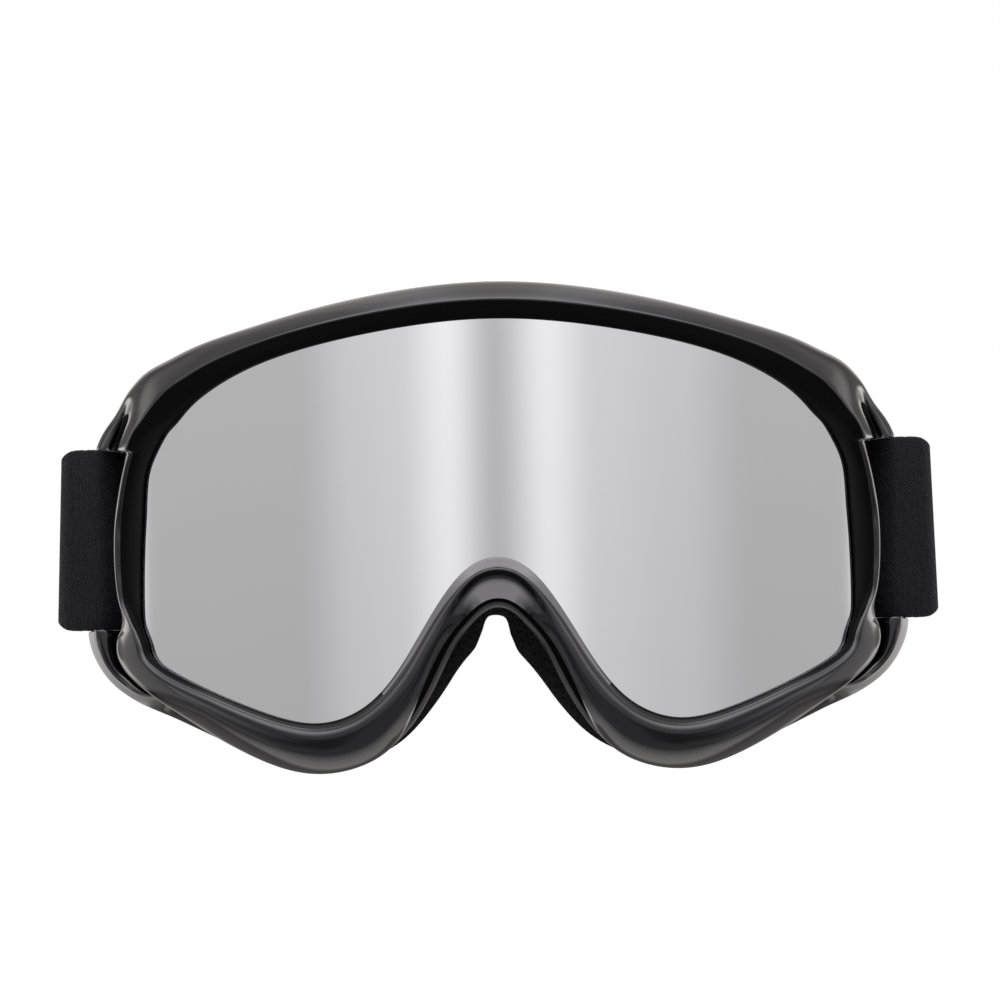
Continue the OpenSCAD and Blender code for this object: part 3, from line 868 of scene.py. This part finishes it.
REAR_SPLIT, CORNER_POINTS, REAR_POINTS = math.radians(25), 16, 160
LEAD_STEPS, LOOP_STEPS, BEND_STEPS, TAIL_STEPS = 16, 24, 16, 8
lead_end = bar_y + 2 * bend_r
inner_path = (
    [rear_point(a) for a in np.linspace(REAR_SPLIT, 0, CORNER_POINTS)]
    + [(bar_x, lead_end + lead_len)]
    + [(bar_x - loop_r * eased(k / LEAD_STEPS), lead_end + lead_len * (1 - k / LEAD_STEPS))
       for k in range(1, LEAD_STEPS)]
    + [(bar_x - loop_r, bar_y)])
back_x = outer_x - strap_t - glue_gap
outer_path = (
    arc(bar_at, loop_r, math.pi, 1.5 * math.pi + flare, LOOP_STEPS)
    + arc(bend_at, bend_r, flare - math.pi / 2, run_turn, BEND_STEPS)
    + [(outer_x, end_front)]
    + arc((slider_bar_x, slider_y), end_r, 0, math.pi, LOOP_STEPS)
    + [(slider_bar_x - end_r + (back_x - slider_bar_x + end_r) * eased(k / TAIL_STEPS),
        slider_y - 0.4 * sewn_len * k / TAIL_STEPS) for k in range(1, TAIL_STEPS + 1)]
    + [(back_x, end_front + 2 * strap_t)])
rear_path = [rear_point(a) for a in np.linspace(REAR_SPLIT, math.pi - REAR_SPLIT, REAR_POINTS)]

for side, word in SIDES:
    inner = build_webbing("strap_inner_" + word, inner_path, side)
    finish_piece(inner, None, webbing, "webbing", "strap_leg_" + word)
    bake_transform(inner)
    outer = build_webbing("strap_outer_" + word, outer_path, side, start_length=300,
                          step=0.7, lean=SWING_LEAN)
    finish_piece(outer, None, webbing, "webbing", "strap_run_" + word, "strap_end_" + word)
    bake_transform(outer)

rear = build_webbing("strap_rear_band", rear_path, 1, start_length=150)
finish_piece(rear, "rear_band", webbing, "webbing", "strap_rear")


# Thread: two rows of zigzag stitches through each sewn end
def tube(path, radius, around=6):
    """Points and faces of a thread along a path in space."""
    path = np.array(path, float)
    ahead = directions(path)
    one_way = np.cross(ahead, [1.0, 0, 0])
    one_way /= np.linalg.norm(one_way, axis=1)[:, None]
    other = np.cross(ahead, one_way)
    turn = np.linspace(0, 2 * math.pi, around, endpoint=False)
    rings = (path[:, None] + radius * (np.cos(turn)[None, :, None] * one_way[:, None]
                                       + np.sin(turn)[None, :, None] * other[:, None]))
    return rings.reshape(-1, 3), capped_faces(len(path), around)


def joined(parts):
    """Several point and face lists as one."""
    points, faces, start = [], [], 0
    for part_points, part_faces in parts:
        points.append(part_points)
        faces += [tuple(i + start for i in face) for face in part_faces]
        start += len(part_points)
    return np.concatenate(points), faces


STITCHES, STITCH_ROWS, STITCH_SPAN = 22, (0.1, 0.35), 0.8
stitch_points = 4 * STITCHES
thread_r, thread_rise, thread_dip = 0.18, 0.16, 0.12
for side, word in SIDES:
    rows = []
    for share in STITCH_ROWS:
        path = []
        for k in range(stitch_points + 1):
            swing = abs((k / 2) % 2 - 1)
            dip = thread_dip * math.cos(math.pi * k / 2) ** 2
            path.append((side * (outer_x + strap_t / 2 + thread_rise - dip),
                         end_front + share * sewn_len + strap_t * swing,
                         STITCH_SPAN * strap_w * (k / stitch_points - 0.5)))
        rows.append(tube(path, thread_r))
    stitches = outward(mesh_object("stitches_" + word, *joined(rows)))
    finish_piece(stitches, word + "_slider", thread, "thread", "bar_tack_" + word)


# Sliders: rails, end bars inside the strap and a middle bar outside it, with soft edges
SLIDER_BAR_SIDES, SLIDER_SOFT, SLIDER_SOFT_ANGLE = 24, 0.45, 35


def build_slider(side, word):
    half = slider_len / 2
    rail_in = strap_w / 2 + edge_gap
    bar_face = bar_x - strap_t / 2 - slide_gap
    bar_in_x = bar_face - slider_t
    far = slider_bar_x + slider_bar_r
    rail = [(bar_in_x, -half), (bar_face, -half), (far, -half / 3), (far, half / 3),
            (bar_face, half), (bar_in_x, half)]

    def prism(name, outline, low_z, high_z):
        points = [(side * x, slider_y + y, z) for z in (low_z, high_z) for x, y in outline]
        return outward(mesh_object(name, points, capped_faces(2, len(outline)), None))

    turn = np.linspace(0, 2 * math.pi, SLIDER_BAR_SIDES, endpoint=False)
    middle = [(slider_bar_x + slider_bar_r * math.cos(a), slider_bar_r * math.sin(a)) for a in turn]
    reach = rail_in + slider_t / 2
    made = prism("slider_" + word + "_body", rail, rail_in, rail_in + slider_t)
    others = [prism("other_rail", rail, -rail_in - slider_t, -rail_in),
              prism("middle_bar", middle, -reach, reach)]
    for y in (-half, half - slider_t):
        bar = [(bar_in_x, y), (bar_face, y), (bar_face, y + slider_t), (bar_in_x, y + slider_t)]
        others.append(prism("end_bar", bar, -reach, reach))
    for other in others:
        union = made.modifiers.new("union", "BOOLEAN")
        union.operation = "UNION"
        union.object = other
    bevel = made.modifiers.new("soft edges", "BEVEL")
    bevel.width = SLIDER_SOFT * MM
    bevel.segments = 3
    bevel.limit_method = "ANGLE"
    bevel.angle_limit = math.radians(SLIDER_SOFT_ANGLE)
    bevel.use_clamp_overlap = True
    baked(made)
    for other in others:
        bpy.data.objects.remove(other)
    made.data.shade_smooth()
    made.data.set_sharp_from_angle(angle=math.radians(SMOOTH_ANGLE))
    finish_piece(made, word + "_slider", black_satin, "slider", "slider_" + word)


for side, word in SIDES:
    build_slider(side, word)


# Grip: two soft lines on the inside of the rear band. They span some of the steps that divide
# its half turn, and their section is heights and shares of half their width.
GRIP_STEPS, GRIP_SPAN, GRIP_GAP = 192, range(20, 173), 0.02
GRIP_SECTION = ((0, -1), (0.35, -0.8), (0.5, -0.3), (0.5, 0.3), (0.35, 0.8), (0, 1))
grip_half = strap_w / 24


def build_grip():
    lines = []
    for z in (-strap_w / 5, strap_w / 5):
        points = []
        for k in GRIP_SPAN:
            for rise, share in GRIP_SECTION:
                x, y = rear_point(math.pi * k / GRIP_STEPS, strap_t / 2 + GRIP_GAP + rise)
                points.append((x, y, z + share * grip_half))
        lines.append((np.array(points), capped_faces(len(GRIP_SPAN), len(GRIP_SECTION))))
    made = outward(mesh_object("grip_lines", *joined(lines)))
    finish_piece(made, "rear_band", grip_rubber, "grip", "strap_grip")


build_grip()


# Stage: a white floor that keeps the object's shadow
def build_floor():
    half, height, own_light = 3000, -165, 0.35
    corners = ((-half, -half), (half, -half), (half, half), (-half, half))
    floor = mesh_object("floor", [(x, y, height) for x, y in corners], [(0, 1, 2, 3)])
    material, tree, shader = new_material("floor", (0.9, 0.9, 0.9), 0.9, Specular_IOR_Level=0.0)
    paths = add_node(tree, "LightPath")
    glow = add_node(tree, "Emission", {"Color": (1, 1, 1, 1)})
    tree.links.new(calc(tree, "MULTIPLY", paths.outputs["Is Camera Ray"], own_light),
                   glow.inputs["Strength"])
    both = add_node(tree, "AddShader", {0: shader.outputs[0], 1: glow.outputs[0]})
    tree.links.new(both.outputs[0], tree.nodes["Material Output"].inputs["Surface"])
    floor.data.materials.append(material)
    floor.visible_glossy = False


build_floor()


# World: white for the camera. Mirrors see strip lights at the level of the lens, a soft box
# above, dim light low in front that is brighter far to either side, and a white sweep behind.
# Matte surfaces get soft light that is weakest from the camera's side.
# Level lights by bearing from the camera, and the rest by the angle over the top from the
# front through the zenith to the back, in degrees and brightness
studio_side = [
    (89, 0.5), (95, 1.0), (113, 1.0), (121, 3.0), (131, 3.0), (136, 1.2), (142, 0.6), (160, 0.9),
    (172, 0.3), (180, 0.25)]
STUDIO_LEVEL = [
    *[(-place, level) for place, level in reversed(studio_side)],
    (-47, 0.5), (-32, 0.65), (-23, 0.69), (-11, 0.93), (0, 0.52), (12, 0.92), (24, 0.69),
    (42, 0.63), (62, 0.5), *studio_side]
STUDIO_OVER = [
    (-180, 0.2), (-134, 0.25), (-125, 1.0), (-112, 1.05), (-102, 0.9), (-92, 0.65), (-84, 0.35),
    (-20, 0.35), (0, 0.35), (14, 0.45), (30, 0.95), (46, 1.5), (58, 1.95), (70, 1.95), (82, 1.1),
    (92, 0.76), (108, 0.7), (118, 0.6), (132, 0.7), (150, 1.3), (165, 1.4), (180, 1.2)]
# Share of the light above by how far it lies to either side
STUDIO_ASIDE = [
    (0, 1.9), (0.08, 2.0), (0.2, 2.45), (0.28, 2.45), (0.38, 1.96), (0.48, 1.32), (0.65, 1.0)]
# Share of the light low in front by its bearing to either side, in degrees
STUDIO_LOW = [(0, 1.0), (20, 1.0), (34, 0.5), (41, 0.4), (84, 3.4), (90, 3.4), (98, 1.0)]
# Ranges over which the lights change, in degrees or as a direction's part aside or toward
# the camera, and the shares of light at their ends
OVERHEAD, FRONT_BAND, FRONT_SHARE = (84, 70), (0.6, 0.85), (1.75, 1.0)
BACK_SIDE, BACK_FROM, BACK_DIM = (0.55, 0.7), (-0.42, -0.58), (0.0, 0.72)
NEAR_LEVEL, LOW_SIDE, LOW_FROM, LOW_DIM = (-50, -36), (0.55, 0.8), (-12, -22), (0.0, 0.64)
BAND_TOP, BAND_FOOT, BACK_FOOT = (4, 8), (-4, -8), (-16, -26)
UPWARD, UPWARD_SHARE = (-4, 4), (0.9, 1.1)


def studio_tint(place):
    """Red and blue of a light at a place: a little cool in front, a little warm behind."""
    if abs(place) < 45:
        return 1.0, 1.03
    if abs(place) < 105:
        return 1.0, 1.0
    return 1.05, 0.98


def build_world():
    world = bpy.context.scene.world = bpy.data.worlds.new("studio")
    world.use_nodes = True
    tree = world.node_tree

    def ramp(value, lights, start, end):
        """A table's lights by a value that runs from start to end."""
        made = add_node(tree, "ValToRGB", {0: spread(tree, value, start, end, 0.0, 1.0)})
        made.color_ramp.interpolation = "EASE"
        stops = made.color_ramp.elements
        stops.remove(stops[1])
        stops[0].position = 0
        for place, _ in lights[1:]:
            stops.new((place - lights[0][0]) / (lights[-1][0] - lights[0][0]))
        for stop, (place, level) in zip(stops, lights):
            red, blue = studio_tint(place)
            stop.color = (level * red, level, level * blue, 1)
        return made.outputs["Color"]

    def step(value, span, shares=(0.0, 1.0)):
        return spread(tree, value, *span, *shares, "SMOOTHSTEP")

    def angle_step(value, span, shares=(0.0, 1.0)):
        return step(value, map(math.radians, span), shares)

    def product(first, second):
        return calc(tree, "MULTIPLY", first, second)

    def rest_of(value):
        return calc(tree, "SUBTRACT", 1.0, value)

    def mixed(share, first, second):
        return add_node(tree, "Mix", {0: share, 2: first, 3: second}).outputs[0]

    # A ray's way: toward the camera, aside, its bearing, its angle over the top and its rise
    way = add_node(tree, "SeparateXYZ", {0: add_node(tree, "TexCoord").outputs["Generated"]})
    toward = product(way.outputs["Y"], -1.0)
    aside = calc(tree, "ABSOLUTE", way.outputs["X"])
    bearing = calc(tree, "ARCTAN2", way.outputs["X"], toward)
    height = calc(tree, "ARCTAN2", way.outputs["Z"], toward)
    rise = calc(tree, "ARCSINE", way.outputs["Z"])

    # Above: brightest near the middle, in a wider band in front, and dimmer to the sides behind
    centre = ramp(aside, STUDIO_ASIDE, 0.0, STUDIO_ASIDE[-1][0])
    centre = mixed(angle_step(height, OVERHEAD), centre, step(aside, FRONT_BAND, FRONT_SHARE))
    back_dim = product(step(aside, BACK_SIDE), step(toward, BACK_FROM, BACK_DIM))
    centre = product(centre, rest_of(back_dim))

    # Below: by the bearing near the level, and dimmer lower down far to the sides
    turned = calc(tree, "ABSOLUTE", bearing)
    low_front = ramp(turned, STUDIO_LOW, 0.0, math.radians(STUDIO_LOW[-1][0]))
    low_front = mixed(angle_step(rise, NEAR_LEVEL), 1.0, low_front)
    low_dim = product(step(aside, LOW_SIDE), angle_step(rise, LOW_FROM, LOW_DIM))
    low_front = product(rest_of(low_dim), low_front)
    share = mixed(calc(tree, "GREATER_THAN", rise, 0.0), low_front, centre)
    over = ramp(height, STUDIO_OVER, -math.pi, math.pi)
    over = mixed_colour(tree, 1.0, over, share, "MULTIPLY")

    # Level lights: a band round the level, a little brighter upward and deeper behind
    level = ramp(bearing, STUDIO_LEVEL, -math.pi, math.pi)
    upward = spread(tree, rise, *map(math.radians, UPWARD), *UPWARD_SHARE)
    level = mixed_colour(tree, 1.0, level, upward, "MULTIPLY")
    behind = calc(tree, "LESS_THAN", toward, 0.0)
    below = mixed(behind, angle_step(rise, BAND_FOOT), angle_step(rise, BACK_FOOT))
    away = calc(tree, "MAXIMUM", angle_step(rise, BAND_TOP), below)
    studio = mixed_colour(tree, away, level, over)

    # The studio for mirrors, soft light for matte surfaces and white for the camera
    paths = add_node(tree, "LightPath")
    front = calc(tree, "MAXIMUM", toward, 0.0)
    soft = shade(tree, front, (0.95, 0.95, 0.96), (0.12, 0.12, 0.12))
    lit = mixed_colour(tree, paths.outputs["Is Glossy Ray"], soft, studio)
    seen = calc(tree, "MAXIMUM", paths.outputs["Is Camera Ray"],
                paths.outputs["Is Transmission Ray"])
    final = mixed_colour(tree, seen, lit, (1, 1, 1, 1))
    tree.links.new(final, tree.nodes["Background"].inputs["Color"])


build_world()


# Key lamp: a soft one above on the left, turned to the part's origin
def add_lamp():
    lamp = bpy.data.lights.new("key_lamp", "AREA")
    lamp.shape = "RECTANGLE"
    lamp.size = 1.0
    lamp.size_y = 0.8
    lamp.energy = 4
    made = new_object("key_lamp", lamp)
    made.location = (-0.5, -0.8, 1.1)
    made.rotation_euler = (-made.location).to_track_quat("-Z", "Y").to_euler()
    made.visible_glossy = False


add_lamp()


# Camera: level, straight at the lens, with the right side a little higher
def add_camera():
    camera = bpy.data.cameras.new("camera")
    camera.sensor_width = 36
    camera.lens = 172.3
    made = new_object("camera", camera)
    made.location = (0.0008, -1.0377, 0.00745)
    made.rotation_euler = (math.radians(90), math.radians(0.95), 0)
    bpy.context.scene.camera = made


add_camera()
bpy.context.scene.view_settings.view_transform = "Standard"

bpy.context.view_layer.update()
